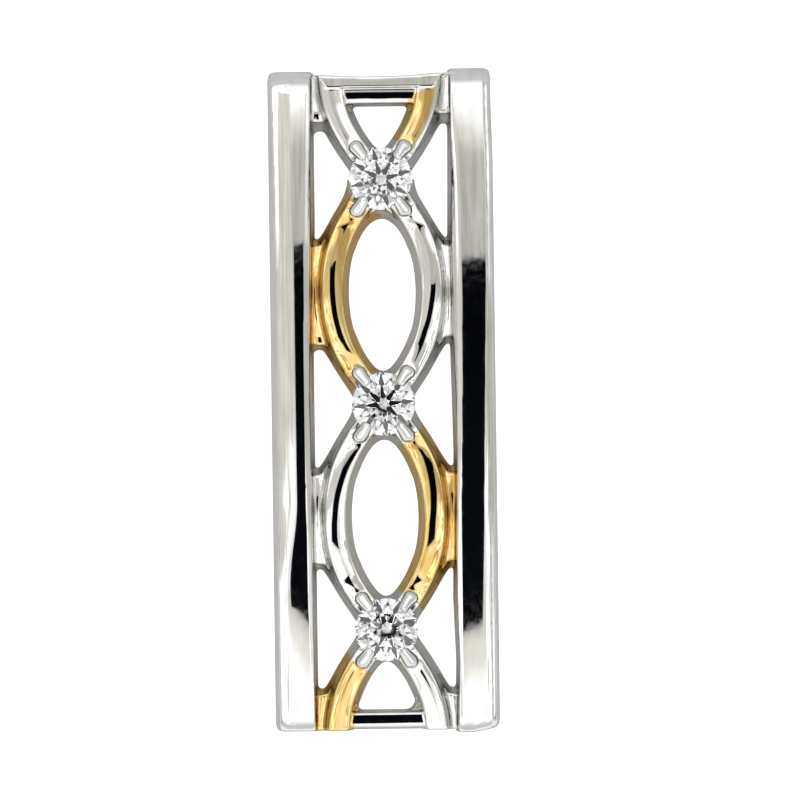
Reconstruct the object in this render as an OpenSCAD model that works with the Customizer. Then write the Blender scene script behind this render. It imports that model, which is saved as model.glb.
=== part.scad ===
// Three-stone rectangle pendant in white and yellow gold, lying on its back.
// The long axis runs along Y with the top at +Y, and the front faces +Z.
// The origin is on the flat back, under the middle of the outline.

/* [Outline] */
// Length from the top edge to the bottom edge
body_l = 24; // [23.8:0.1:24.4]
// Width over the two side bars
body_w = 8.12; // [8.08:0.02:8.3]
// Radius of the four rounded outer corners
corner_r = 0.35; // [0.2:0.05:0.5]
// Radius of the gentle lengthwise arch of the front
arch_r = 200; // [180:10:300]

/* [Side bars] */
// Width of one bar at its foot
bar_w = 1.6; // [1.55:0.01:1.62]
// Height of the bar's crest above the back
bar_h = 2.3; // [2.25:0.01:2.4]
// Radius of the crowned face across the bar
bar_face_r = 5; // [4:0.5:9]
// Distance of the crest line in from the outer edge
bar_crest_in = 1.02; // [0.8:0.02:1.2]
// Width of the bevel along each long edge
bar_bevel = 0.16; // [0.1:0.02:0.2]
// Width of the bevel across the front of both ends
end_bevel = 0.2; // [0.1:0.05:0.3]

/* [Ribbons] */
// Distance between neighbouring crossings
pitch = 8.13; // [8.1:0.01:8.16]
// Place of the middle crossing along the length
cross_mid_y = -0.1; // [-0.2:0.05:0]
// Distance of a bulge's centre line from the long axis
swing = 1.8; // [1.78:0.01:1.82]
// Slope of the ribbons where they cross, from the long axis
cross_deg = 39.5; // [39:0.5:40]
// Width of a ribbon
rib_w = 1.2; // [1.16:0.02:1.22]
// Height of a ribbon's ridge above the back, on the middle of the arch
rib_top = 2.05; // [2:0.01:2.1]
// Depth of a ribbon from its ridge to its underside
rib_t = 1.35; // [1.2:0.05:1.4]
// Radius of a ribbon's crowned top
rib_crown_r = 1.2; // [1:0.1:1.6]

/* [Webs and crossbars] */
// Half length of the webs beside the ribbons' bulges
web_half = 1.94; // [1.8:0.02:2]
// Half length of the two webs below the middle stone
low_web_half = 1.76; // [1.7:0.02:1.9]
// Half length of the web beside the top left bulge
top_web_half = 2.2; // [2:0.05:2.3]
// Height of a web's front face, on the middle of the arch
web_top = 1.55; // [1.5:0.01:1.6]
// Height of the front faces of the two top webs, over the chain passage
top_web_top = 1.78; // [1.76:0.01:1.82]
// Depth of a web
web_t = 0.8; // [0.7:0.05:0.9]
// Radius of the two round crossbars
crossbar_r = 0.4; // [0.36:0.01:0.42]
// Height of the crossbars' centre line above the back
crossbar_z = 1.45; // [1.4:0.01:1.5]
// Depth of the dip in the top edge between the bars
dip = 0.25; // [0.2:0.01:0.3]
// Width of the front rim along the top edge
rim_w = 0.36; // [0.34:0.01:0.4]

/* [Stones and heads] */
// Girdle diameter of a stone
stone_d = 2.3; // [2.26:0.02:2.32]
// Height of the girdle above the back, on the middle of the arch
stone_z = 2.38; // [2.36:0.01:2.4]
// Radius of a prong
prong_r = 0.27; // [0.25:0.01:0.28]
// Distance of a prong's foot from the stone's axis
prong_foot = 1.32; // [1.3:0.01:1.33]
// Radius of the white metal round a stone, where a yellow ribbon ends
head_r = 1.65; // [1.62:0.01:1.7]

/* [Chain passage] */
// Radius of the bore through both bars for a chain
bore_r = 0.45; // [0.42:0.01:0.46]
// Distance of the bore's axis below the top edge
bore_in = 0.8; // [0.78:0.01:0.84]
// Height of the bore's axis above the back
bore_z = 0.75; // [0.74:0.01:0.78]

/* [Fit] */
// Gap kept between two pieces
gap = 0.02; // [0.015:0.005:0.03]

/* [Hidden] */
$fn = 96;

white_gold = "gainsboro";
yellow_gold = "goldenrod";
clear_stone = "aliceblue";

// A cut passes this far beyond what it cuts
past = 1;
// Two solids of one piece overlap this much where they join
weld = 0.06;
// A straight stretch is finer than the arc that it runs out of by this much
seam = 0.005;

half_l = body_l / 2;
half_w = body_w / 2;
bar_in = half_w - bar_w;
half_pitch = pitch / 2;
cross_y = [cross_mid_y + pitch, cross_mid_y, cross_mid_y - pitch];
bulge_y = [for (k = [1.5, 0.5, -0.5, -1.5]) cross_mid_y + k * pitch];

// The centre line of a bulge is an arc between two straights
arc_r = (half_pitch * tan(cross_deg) - swing)
      / (sin(cross_deg) * tan(cross_deg) - (1 - cos(cross_deg)));
arc_end_y = arc_r * sin(cross_deg);
arc_end_x = swing - arc_r * (1 - cos(cross_deg));
straight_l = (half_pitch - arc_end_y) / cos(cross_deg);
// Angle of the arc that belongs to the white metal round a stone
white_deg = (head_r - straight_l) / arc_r * 180 / PI;
gap_deg = gap / arc_r * 180 / PI;
// The ribbons run this near to a crossing's centre, inside the cup
hub_in = 0.46;

// Lower end of the rim and its height, from the crossbars' centre line up
rim_below = 0.12;
rim_h = 0.55;
// The top crossbar tucks this far up under the rim
bar_tuck = 0.11;
// The bottom crossbar stands this far in from the bottom edge
bar_inset = 0.02;
// Upper end of the yellow metal in the top right ribbon
top_cut_y = half_l - 0.85;

// The cup: its bottom below the ribbons' underside, and its radii as parts of the stone's
cup_below = 0.08;
cup_low_part = 0.66;
cup_top_part = 0.95;
// The cup's rim stays this far below the girdle
cup_rim_below = 0.18;
// A prong's tip over the stone's edge, and its foot and tip from the girdle
prong_over = 0.08;
prong_up = 0.3;
prong_down = 0.9;
prong_dome_r = 1.15 * prong_r;

// Turn of each stone about its axis
stone_turn = [14, 5, 19];
stone_r = stone_d / 2;
table_r = 0.56 * stone_r;
star_r = 0.76 * stone_r;
lower_r = 0.26 * stone_r;
girdle_t = 0.03 * stone_d;
crown_deg = 34.5;
pavilion_deg = 40.75;
crown_h = (stone_r - table_r) * tan(crown_deg);
pavilion_h = stone_r * tan(pavilion_deg);

// A point of the long axis keeps its place, and what it carries follows the arch
module on_arch(y) {
    translate([0, 0, bar_h - arch_r])
        rotate([-asin(y / arch_r), 0, 0])
            translate([0, 0, arch_r - bar_h])
                children();
}

// The rounded rectangle that bounds the pendant
module outline_2d() {
    union() {
        square([body_w, body_l - 2 * corner_r], center = true);
        square([body_w - 2 * corner_r, body_l], center = true);
        for (sx = [-1, 1], sy = [-1, 1])
            translate([sx * (half_w - corner_r), sy * (half_l - corner_r)])
                circle(r = corner_r);
    }
}

// Section of a bar, with its radius about the arch's axis first
module bar_section() {
    base = arch_r - bar_h;
    crest = half_w - bar_crest_in;
    shoulder = 0.34;
    intersection() {
        translate([arch_r - bar_face_r, crest])
            circle(r = bar_face_r, $fn = 720);
        polygon([
            [base - weld, bar_in],
            [base + bar_h - shoulder, bar_in],
            [base + bar_h + weld, bar_in + bar_bevel * (1 + weld / shoulder)],
            [base + bar_h + weld, half_w - bar_bevel * (1 + weld / shoulder)],
            [base + bar_h - 3 * shoulder, half_w + 2 * bar_bevel],
            [base - weld, half_w + 2 * bar_bevel]
        ]);
    }
}

// One long bar, for the side of the axis that side gives
module bar(side) {
    sweep_deg = 2 * asin((half_l + past) / arch_r);
    mirror([side > 0 ? 1 : 0, 0, 0])
        translate([0, 0, bar_h - arch_r])
            rotate([0, -90, 0])
                rotate([0, 0, -sweep_deg / 2])
                    rotate_extrude(angle = sweep_deg, $fn = 2400)
                        bar_section();
}

// Section of a ribbon about its centre line, smaller all round by less
module ribbon_section(less = 0) {
    half = rib_w / 2 - less;
    corner = 0.12;
    low = rib_top - rib_t + less;
    wall_top = low + 0.6;
    flank_top = rib_top + 0.2;
    flank_in = 0.27;
    intersection() {
        translate([0, rib_top - rib_crown_r])
            circle(r = rib_crown_r - less, $fn = 180);
        polygon([
            [-half, low + corner],
            [-half + corner, low],
            [half - corner, low],
            [half, low + corner],
            [half, wall_top],
            [half - flank_in, flank_top],
            [-half + flank_in, flank_top],
            [-half, wall_top]
        ]);
    }
}

// The arc of a bulge to the right of the axis, between two angles
module ribbon_arc(from_deg, to_deg) {
    translate([swing - arc_r, 0, 0])
        rotate([0, 0, from_deg])
            rotate_extrude(angle = to_deg - from_deg, $fn = 360)
                translate([arc_r, 0])
                    ribbon_section();
}

// The straight stretch from inside the arc to a crossing, at one end of a bulge
module ribbon_straight(end) {
    translate([arc_end_x, end * arc_end_y, 0])
        rotate([90, 0, end > 0 ? 180 + cross_deg : -cross_deg])
            translate([0, 0, -weld])
                linear_extrude(height = weld + straight_l - hub_in)
                    ribbon_section(seam);
}

// What lies in a bulge's place, to the side that side gives
module beside(index, side) {
    on_arch(bulge_y[index])
        mirror([side < 0 ? 1 : 0, 0, 0])
            children();
}

// A white ribbon's bulge, from the cup at one end to the cup at the other
module white_bulge(index, side) {
    beside(index, side) {
        ribbon_arc(-cross_deg, cross_deg);
        ribbon_straight(-1);
        ribbon_straight(1);
    }
}

// The white ends of a yellow bulge, next to the crossings
module white_end(index, side, end) {
    beside(index, side) {
        ribbon_straight(end);
        ribbon_arc(end > 0 ? cross_deg - white_deg : -cross_deg,
                   end > 0 ? cross_deg : white_deg - cross_deg);
    }
}

// A yellow ribbon's bulge, clear of the white metal at both ends
module yellow_bulge(index, side) {
    reach_deg = cross_deg - white_deg - gap_deg;
    beside(index, side)
        ribbon_arc(-reach_deg, reach_deg);
}

// The web that joins a bulge to the bar beside it
module web(index, side, reach, half = web_half, top = web_top) {
    on_arch(bulge_y[index])
        translate([side > 0 ? swing : -reach, -half, top - web_t])
            cube([reach - swing, 2 * half, web_t]);
}

// The space that a stone takes, with the gap all round
module stone_space(index) {
    top = stone_z + girdle_t / 2;
    low = stone_z - girdle_t / 2;
    on_arch(cross_y[index])
        rotate_extrude()
            polygon([
                [0, low - pavilion_h - 2 * gap],
                [stone_r + gap, low - gap],
                [stone_r + gap, top + gap],
                [table_r, top + crown_h + 2 * gap],
                [0, top + crown_h + 2 * gap]
            ]);
}

// One prong: a leaning round wire with a domed tip over the stone's edge
module prong() {
    tip_x = stone_r - prong_over;
    lean = atan((prong_foot - tip_x) / (prong_up + prong_down));
    long = (prong_up + prong_down) / cos(lean);
    translate([prong_foot, 0, stone_z - prong_down])
        rotate([0, -lean, 0])
            rotate_extrude($fn = 48)
                intersection() {
                    square([prong_r, long]);
                    union() {
                        square([prong_r, long - prong_dome_r]);
                        translate([0, long - prong_dome_r])
                            circle(r = prong_dome_r);
                    }
                }
}

// The cup under a stone and the four prongs over it
module head(index) {
    low = rib_top - rib_t - cup_below;
    on_arch(cross_y[index]) {
        translate([0, 0, low])
            cylinder(r1 = cup_low_part * stone_r, r2 = cup_top_part * stone_r,
                     h = stone_z - cup_rim_below - low);
        for (turn = [-1, 1], half_turn = [0, 180])
            rotate([0, 0, 90 + turn * cross_deg + half_turn])
                prong();
    }
}

// The front rim along the top edge
module rim() {
    translate([-bar_in - weld, half_l - dip - rim_w, crossbar_z - rim_below])
        cube([2 * (bar_in + weld), rim_w + dip + past, rim_h]);
}

// A round crossbar whose one end stops clear of the yellow ribbon on that side
module crossbar(index, yellow_side, y) {
    intersection() {
        translate([0, y, crossbar_z])
            rotate([0, 90, 0])
                cylinder(r = crossbar_r, h = 2 * swing, center = true);
        translate([yellow_side * (swing - arc_r), bulge_y[index], 0])
            cylinder(r = arc_r - rib_w / 2 - gap, h = 3 * bar_h, $fn = 720);
    }
}

// Everything that is cut out of the soldered white metal
module frame_cuts() {
    for (k = [0:2])
        stone_space(k);
    bore();
    translate([0, half_l - dip + bar_in * bar_in / (2 * dip), 0])
        cylinder(r = bar_in * bar_in / (2 * dip), h = 3 * bar_h, $fn = 720);
    for (end = [-1, 1])
        translate([0, end * half_l, bar_h - half_l * half_l / (2 * arch_r)])
            rotate([45, 0, 0])
                cube([body_w + past, end_bevel * sqrt(2), end_bevel * sqrt(2)],
                     center = true);
}

// The chain passage through both bars, behind the top crossbar
module bore() {
    translate([0, half_l - bore_in, bore_z])
        rotate([0, 90, 0])
            cylinder(r = bore_r, h = body_w + 2 * past, center = true);
}

// The slab between the back plane and the front, inside the outline
module blank() {
    linear_extrude(height = 2 * bar_h)
        outline_2d();
}

// Everything above a level across the pendant
module above(y) {
    translate([-half_w, y, -past])
        cube([body_w, body_l, 3 * bar_h]);
}

// The white upper end of the top right ribbon, with its web
module white_top_end() {
    intersection() {
        beside(0, 1)
            ribbon_arc(-cross_deg / 2, 0);
        above(top_cut_y);
    }
    difference() {
        web(0, 1, bar_in + weld, web_half, top_web_top);
        translate([swing - arc_r, bulge_y[0], 0])
            cylinder(r = arc_r + rib_w / 2 + gap, h = 3 * bar_h, $fn = 720);
    }
}

module frame() {
    color(white_gold)
        difference() {
            intersection() {
                union() {
                    bar(-1);
                    bar(1);
                    rim();
                    crossbar(0, 1, half_l - dip - rim_w + bar_tuck - crossbar_r);
                    crossbar(3, -1, crossbar_r + bar_inset - half_l);
                    white_bulge(0, -1);
                    white_bulge(1, 1);
                    white_bulge(2, -1);
                    white_bulge(3, 1);
                    web(0, -1, bar_in + weld, top_web_half, top_web_top);
                    web(1, 1, bar_in + weld);
                    web(2, -1, bar_in + weld, low_web_half);
                    web(3, 1, bar_in + weld);
                    white_top_end();
                    white_end(0, 1, -1);
                    white_end(1, -1, 1);
                    white_end(1, -1, -1);
                    white_end(2, 1, 1);
                    white_end(2, 1, -1);
                    white_end(3, -1, 1);
                    for (k = [0:2])
                        head(k);
                }
                blank();
            }
            frame_cuts();
        }
}

module ribbon_top_right() {
    color(yellow_gold)
        difference() {
            yellow_bulge(0, 1);
            above(top_cut_y - gap);
            bore();
        }
}

module ribbon_upper_left() {
    color(yellow_gold) {
        yellow_bulge(1, -1);
        web(1, -1, bar_in - gap);
    }
}

module ribbon_lower_right() {
    color(yellow_gold) {
        yellow_bulge(2, 1);
        web(2, 1, bar_in - gap, low_web_half);
    }
}

module ribbon_bottom_left() {
    color(yellow_gold)
        intersection() {
            union() {
                yellow_bulge(3, -1);
                web(3, -1, bar_in - gap);
            }
            translate([-half_w, -half_l, -past])
                cube([body_w, body_l, 3 * bar_h]);
        }
}

// Height, above the girdle's middle, of the crown main plane at distance x
function crown_z(x) = girdle_t / 2 + (stone_r - x) * tan(crown_deg);
// Height of the pavilion main plane at distance x
function pavilion_z(x) = -girdle_t / 2 - (stone_r - x) * tan(pavilion_deg);
function ring_point(r, deg, z) = [r * cos(deg), r * sin(deg), z];

// Round brilliant with a table, 32 crown facets, a girdle and 24 pavilion facets
module brilliant() {
    eighth = 45;
    sixteenth = eighth / 2;
    star_x = star_r * cos(sixteenth);
    lower_x = lower_r * cos(sixteenth);
    table_pts = [for (k = [0:7]) ring_point(table_r, k * eighth, crown_z(table_r))];
    star_pts = [for (k = [0:7]) ring_point(star_r, (k + 0.5) * eighth, crown_z(star_x))];
    upper_pts = [for (k = [0:15]) ring_point(stone_r, k * sixteenth, girdle_t / 2)];
    under_pts = [for (k = [0:15]) ring_point(stone_r, k * sixteenth, -girdle_t / 2)];
    lower_pts = [for (k = [0:7]) ring_point(lower_r, (k + 0.5) * eighth, pavilion_z(lower_x))];
    culet = [[0, 0, pavilion_z(0)]];
    star_0 = 8;
    upper_0 = 16;
    under_0 = 32;
    lower_0 = 48;
    culet_0 = 56;
    polyhedron(
        points = concat(table_pts, star_pts, upper_pts, under_pts, lower_pts, culet),
        faces = concat(
            [[for (k = [7:-1:0]) k]],
            [for (k = [0:7]) [k, (k + 1) % 8, star_0 + k]],
            [for (k = [0:7]) [k, star_0 + k, upper_0 + 2 * k, star_0 + (k + 7) % 8]],
            [for (k = [0:7]) [star_0 + k, upper_0 + 2 * k + 1, upper_0 + 2 * k]],
            [for (k = [0:7]) [star_0 + k, upper_0 + (2 * k + 2) % 16, upper_0 + 2 * k + 1]],
            [for (k = [0:15]) [upper_0 + k, upper_0 + (k + 1) % 16, under_0 + (k + 1) % 16, under_0 + k]],
            [for (k = [0:7]) [lower_0 + k, under_0 + 2 * k, under_0 + 2 * k + 1]],
            [for (k = [0:7]) [lower_0 + k, under_0 + 2 * k + 1, under_0 + (2 * k + 2) % 16]],
            [for (k = [0:7]) [culet_0, lower_0 + (k + 7) % 8, under_0 + 2 * k, lower_0 + k]]
        )
    );
}

module placed_stone(index) {
    color(clear_stone)
        on_arch(cross_y[index])
            translate([0, 0, stone_z])
                rotate([0, 0, stone_turn[index]])
                    brilliant();
}

module stone_top() {
    placed_stone(0);
}

module stone_middle() {
    placed_stone(1);
}

module stone_bottom() {
    placed_stone(2);
}

frame();
ribbon_top_right();
ribbon_upper_left();
ribbon_lower_right();
ribbon_bottom_left();
stone_top();
stone_middle();
stone_bottom();
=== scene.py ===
import math

import bpy
import numpy as np
from bpy.props import FloatProperty, FloatVectorProperty, PointerProperty
from bpy.types import Operator, Panel, PropertyGroup
from mathutils import Matrix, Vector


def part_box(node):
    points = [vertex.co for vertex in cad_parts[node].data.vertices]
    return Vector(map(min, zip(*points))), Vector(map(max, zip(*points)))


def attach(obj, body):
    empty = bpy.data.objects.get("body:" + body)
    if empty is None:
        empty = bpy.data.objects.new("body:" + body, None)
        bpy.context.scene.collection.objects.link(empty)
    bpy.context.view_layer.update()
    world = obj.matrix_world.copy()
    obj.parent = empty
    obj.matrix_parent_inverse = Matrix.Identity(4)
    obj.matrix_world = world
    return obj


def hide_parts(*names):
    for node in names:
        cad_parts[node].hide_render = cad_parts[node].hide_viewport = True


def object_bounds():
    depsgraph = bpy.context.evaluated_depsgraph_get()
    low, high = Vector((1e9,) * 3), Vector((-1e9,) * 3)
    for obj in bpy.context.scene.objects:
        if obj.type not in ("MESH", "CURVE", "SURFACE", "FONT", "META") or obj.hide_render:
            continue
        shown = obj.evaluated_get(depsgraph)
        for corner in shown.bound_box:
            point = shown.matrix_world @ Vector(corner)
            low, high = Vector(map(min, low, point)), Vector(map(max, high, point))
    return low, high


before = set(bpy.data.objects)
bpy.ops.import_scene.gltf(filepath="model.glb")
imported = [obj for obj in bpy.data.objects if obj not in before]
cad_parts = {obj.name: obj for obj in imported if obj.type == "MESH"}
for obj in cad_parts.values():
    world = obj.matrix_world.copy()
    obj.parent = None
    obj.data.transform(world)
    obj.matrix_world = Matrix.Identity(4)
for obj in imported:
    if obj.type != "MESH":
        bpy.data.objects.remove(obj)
CAD_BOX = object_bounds()

bl_info = {
    "name": "Rectangle Pendant",
    "version": (1, 0, 0),
    "blender": (4, 5, 0),
    "location": "View3D > Sidebar > Pendant",
    "description": "Polished bars, crossing ribbons, claws and stones of a two-tone pendant",
    "category": "Add Mesh",
}

# The shapes below are worked out in millimetres, and the meshes are in metres
MM = 0.001
HALF_L = CAD_BOX[1][1] / MM
HALF_W = CAD_BOX[1][0] / MM
STONES = ("stone_top", "stone_middle", "stone_bottom")


def stone_place(node):
    """Middle of a stone's solid along the pendant, in millimetres."""
    low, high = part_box(node)
    return (low[1] + high[1]) / 2 / MM


CROSS_Y = [stone_place(node) for node in STONES]
PITCH = (CROSS_Y[0] - CROSS_Y[2]) / 2
BULGE_Y = [CROSS_Y[1] + k * PITCH for k in (1.5, 0.5, -0.5, -1.5)]


class BarSizes(PropertyGroup):
    """Sizes of the two side bars."""
    height: FloatProperty(
        name="Height", description="Height of the crest above the back",
        default=0.0023, unit="LENGTH")
    arch_radius: FloatProperty(
        name="Arch radius", description="Radius of the lengthwise arch of the front",
        default=0.2, unit="LENGTH")
    left_twist: FloatProperty(
        name="Left twist", description="Turn of the left bar's face for each millimetre along it",
        default=-0.002)
    right_twist: FloatProperty(
        name="Right twist", description="Turn of the right bar's face for each millimetre along it",
        default=-0.0035)
    right_droop: FloatProperty(
        name="Right droop", description="Extra slope of the right bar's upper half",
        default=0.0035)
    left_droop: FloatProperty(
        name="Left droop", description="Extra slope of the left bar's lower end",
        default=0.0068)
    inner_slope: FloatProperty(
        name="Inner slope", description="Lean of the inner wall, as a part of its height",
        default=0.06)
    top_round: FloatProperty(
        name="Top round", description="Length of the sloping face at the top end",
        default=0.00048, unit="LENGTH")
    bottom_round: FloatProperty(
        name="Bottom round", description="Length of the sloping face at the bottom end",
        default=0.00028, unit="LENGTH")
    end_blend: FloatProperty(
        name="End blend", description="Width of the rounding between the face and its sloping ends",
        default=0.00034, unit="LENGTH")
    end_slope: FloatProperty(
        name="End slope", description="Slope of the face at both ends", default=0.6)
    corner_round: FloatProperty(
        name="Corner round", description="Width of the rounding of the long outer corners",
        default=0.00045, unit="LENGTH")
    bottom_slant: FloatProperty(
        name="Bottom slant", description="Slope of the right bar's bottom end",
        default=0.19)
    bore_radius: FloatProperty(
        name="Bore radius", description="Radius of the chain passage",
        default=0.00045, unit="LENGTH")


class RibbonSizes(PropertyGroup):
    """Sizes of the two crossing ribbons and of what joins them."""
    swing: FloatProperty(
        name="Swing", description="Distance of a bulge's crest from the long axis",
        default=0.0018, unit="LENGTH")
    fullness: FloatProperty(
        name="Fullness", description="How much a bulge is flattened beside the bar",
        default=0.0001, unit="LENGTH")
    top: FloatProperty(
        name="Top", description="Height of the crest above the back, on the middle of the arch",
        default=0.00205, unit="LENGTH")
    depth: FloatProperty(
        name="Depth", description="Depth from the crest to the underside",
        default=0.00135, unit="LENGTH")
    crown_radius: FloatProperty(
        name="Crown radius", description="Radius of the crowned top",
        default=0.0019, unit="LENGTH")
    half_top: FloatProperty(
        name="Half width", description="Half width between the two shoulders",
        default=0.00038, unit="LENGTH")
    draft: FloatProperty(
        name="Draft", description="Lean of the flanks, as a part of their depth",
        default=0.17)
    shoulder: FloatProperty(
        name="Shoulder", description="Width of the rounding along the shoulders",
        default=0.00012, unit="LENGTH")
    crossing_fillet: FloatProperty(
        name="Crossing fillet", description="Width of the fillet where two ribbons cross",
        default=0.0007, unit="LENGTH")
    web_top: FloatProperty(
        name="Web top", description="Height of a web, on the middle of the arch",
        default=0.00142, unit="LENGTH")
    web_fillet: FloatProperty(
        name="Web fillet", description="Width of the fillets along a web",
        default=0.0002, unit="LENGTH")


class HeadSizes(PropertyGroup):
    """Sizes of the cups and claws."""
    girdle: FloatProperty(
        name="Girdle", description="Height of a stone's girdle, on the middle of the arch",
        default=0.00238, unit="LENGTH")
    stone_radius: FloatProperty(
        name="Stone radius", description="Girdle radius of a stone",
        default=0.00115, unit="LENGTH")
    claw_degrees: FloatProperty(
        name="Claw turn", description="Turn of the claws from the long axis",
        default=math.radians(37.5), unit="ROTATION")
    claw_tip: FloatProperty(
        name="Claw tip", description="Radius of a claw at its tip",
        default=0.00022, unit="LENGTH")
    claw_foot: FloatProperty(
        name="Claw foot", description="Radius of a claw at its foot",
        default=0.00028, unit="LENGTH")


class Finish(PropertyGroup):
    """Colours and polish."""
    white: FloatVectorProperty(
        name="White gold", description="Colour of the white metal",
        default=(0.86, 0.86, 0.85), size=3, subtype="COLOR", min=0, max=1)
    yellow: FloatVectorProperty(
        name="Yellow gold", description="Colour of the yellow metal",
        default=(0.90, 0.68, 0.32), size=3, subtype="COLOR", min=0, max=1)
    # Painted shade: darker copies of the metal colours, swapped in where metal is seen mirrored in metal,
    # so narrow places and crevices come out darker
    white_painted_shade: FloatVectorProperty(
        name="White gold in itself", description="Colour of the white metal where metal mirrors it",
        default=(0.7, 0.7, 0.69), size=3, subtype="COLOR", min=0, max=1)
    yellow_painted_shade: FloatVectorProperty(
        name="Yellow gold in itself", description="Colour of the yellow metal where metal mirrors it",
        default=(0.72, 0.57, 0.33), size=3, subtype="COLOR", min=0, max=1)
    white_edge: FloatVectorProperty(
        name="White gold at a slant", description="Tint of the white metal seen at a slant",
        default=(1.0, 0.99, 0.97), size=3, subtype="COLOR", min=0, max=1)
    yellow_edge: FloatVectorProperty(
        name="Yellow gold at a slant", description="Tint of the yellow metal seen at a slant",
        default=(0.97, 0.85, 0.62), size=3, subtype="COLOR", min=0, max=1)
    # Painted reflection: tints of darker streaks multiplied into the metal colours at random, standing in
    # for uneven reflections
    white_painted_streaks: FloatVectorProperty(
        name="White gold streaks", description="Tint of the deepest streaks in the white metal",
        default=(0.92, 0.92, 0.91), size=3, subtype="COLOR", min=0, max=1)
    yellow_painted_streaks: FloatVectorProperty(
        name="Yellow gold streaks", description="Tint of the deepest streaks in the yellow metal",
        default=(0.84, 0.73, 0.55), size=3, subtype="COLOR", min=0, max=1)
    polish: FloatProperty(
        name="Polish", description="Roughness of the polished metal",
        default=0.03, min=0, max=1)
    claw_polish: FloatProperty(
        name="Claw polish", description="Roughness of the claws, which are filed to shape",
        default=0.2, min=0, max=1)
    bar_waves: FloatProperty(
        name="Bar waves", description="Depth of the slow waves that polishing leaves on the bars",
        default=0.0000011, unit="LENGTH")
    ribbon_waves: FloatProperty(
        name="Ribbon waves", description="Depth of the slow waves that polishing leaves on the ribbons",
        default=0.000006, unit="LENGTH")


class Studio(PropertyGroup):
    """The light tent, the floor and the camera."""
    tent: FloatProperty(
        name="Tent", description="Brightness of the light tent", default=1.25, min=0)
    grey: FloatProperty(
        name="Grey", description="Brightness of the tent's upper part", default=0.75, min=0)
    horizon: FloatProperty(
        name="Horizon", description="Brightness of the room below the tent", default=1.05, min=0)
    gap: FloatProperty(
        name="Gap", description="Brightness of the gap below the tent's sides", default=0.4, min=0)
    end_gap: FloatProperty(
        name="End gap", description="Brightness of the gap below the tent's ends", default=0.68, min=0)
    mottle: FloatProperty(
        name="Mottle", description="Unevenness of the tent's grey part", default=0.13, min=0, max=1)
    fold_low: FloatProperty(
        name="Fold low", description="Brightness of the darkest folds of the tent's white part",
        default=0.55, min=0)
    fold_high: FloatProperty(
        name="Fold high", description="Brightness of the brightest folds of the tent's white part",
        default=1.9, min=0)
    stone_dark: FloatProperty(
        name="Stone dark", description="Half angle of the dark that the stones gather, in degrees",
        default=17, min=0)
    camera_height: FloatProperty(
        name="Camera height", description="Height of the camera above the floor",
        default=0.3, unit="LENGTH")
    roll: FloatProperty(
        name="Roll", description="Turn of the camera about its axis",
        default=math.radians(0.77), unit="ROTATION")


class PendantSettings(PropertyGroup):
    """All the settings of the pendant."""
    bars: PointerProperty(type=BarSizes)
    ribbons: PointerProperty(type=RibbonSizes)
    heads: PointerProperty(type=HeadSizes)
    finish: PointerProperty(type=Finish)
    studio: PointerProperty(type=Studio)


def settings():
    """All the settings of the pendant."""
    return bpy.context.scene.pendant


def mm(length):
    """A length of a property group, in millimetres."""
    return length / MM


def smooth_min(a, b, width):
    """Lower of two fields, with a rounding of that width where they meet."""
    near = np.maximum(width - np.abs(a - b), 0.0) / width
    return np.minimum(a, b) - near ** 3 * width / 6


def smooth_max(a, b, width):
    """Higher of two fields, with a rounding of that width where they meet."""
    return -smooth_min(-a, -b, width)


def arch_drop(y):
    """How far the arch of the front has come down at a place along the pendant."""
    radius = mm(settings().bars.arch_radius)
    return radius - np.sqrt(radius ** 2 - y ** 2)


# Stations across each bar's face: distance in from the outer edge, slope in degrees outwards, and
# how far the station moves in where the face leans, towards the top end and towards the bottom end
LEFT_FACE = (
    (0.0, 78, 0, 0, 0), (0.07, 62, 0, 0, 0), (0.24, 50, -0.08, -0.09, 0), (0.28, 22, -0.07, -0.09, 0),
    (0.36, 14, -0.03, -0.08, 0), (0.42, 11, -0.02, -0.06, 0), (0.75, 5, -0.33, 0, 0),
    (0.845, 2.6, -0.33, 0, 0), (1.215, -2.6, 0, 0.15, 0.08), (1.235, -13, 0, 0.15, 0.1),
    (1.345, -21, 0, 0.15, 0.13), (1.385, -50, 0, 0.15, 0.13), (1.9, -62, 0, 0.15, 0.13))
RIGHT_FACE = (
    (0.0, 78, 0, 0, 0), (0.04, 62, 0, 0, 0), (0.11, 50, 0, -0.02, 0), (0.14, 24, 0, -0.02, 0),
    (0.24, 16, 0, -0.02, 0), (0.26, 34, 0, 0, 0), (0.28, 34, 0, 0, 0), (0.30, 10, 0, 0, 0),
    (0.345, 5, -0.2, 0, 0), (0.395, 2.6, -0.2, 0, 0), (1.235, -2.6, -0.2, 0.25, 0),
    (1.265, -10, -0.2, 0.25, 0), (1.395, -16, -0.2, 0.25, 0), (1.435, -50, -0.15, 0.2, 0),
    (1.95, -62, 0, 0, 0))
# Distance from the middle at which the stations have moved by those amounts
FULL_MOVE = 10.0
# Where a face starts and stops to lean: on the left below the middle, on the right along the pendant
LEFT_LEAN = (3.6, 6.6)
RIGHT_LEAN = (-3.6, 8.0)
# Distance of each bar's inner foot from the long axis, at places along the pendant
LEFT_FOOT = ((-12, 2.51), (2.5, 2.51), (4.5, 2.46), (6.5, 2.41), (12, 2.4))
RIGHT_FOOT = ((-12, 2.45), (-9.4, 2.5), (-7.2, 2.42), (-1.8, 2.5), (2, 2.43), (6, 2.38), (8, 2.41),
              (12, 2.45))
# How much narrower the right bar gets towards its top end, and between which places
NARROWING = 0.05
NARROWING_PLACES = (8.5, 11.0)
# Each face is turned about a line this far in from its edge, more and more below its start. The
# left one's turn stops growing after a length
TURN_INSET = 0.95
RIGHT_TURN_START = -4.0
LEFT_TURN_START = -6.8
LEFT_TURN_LENGTH = 2.5
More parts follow.
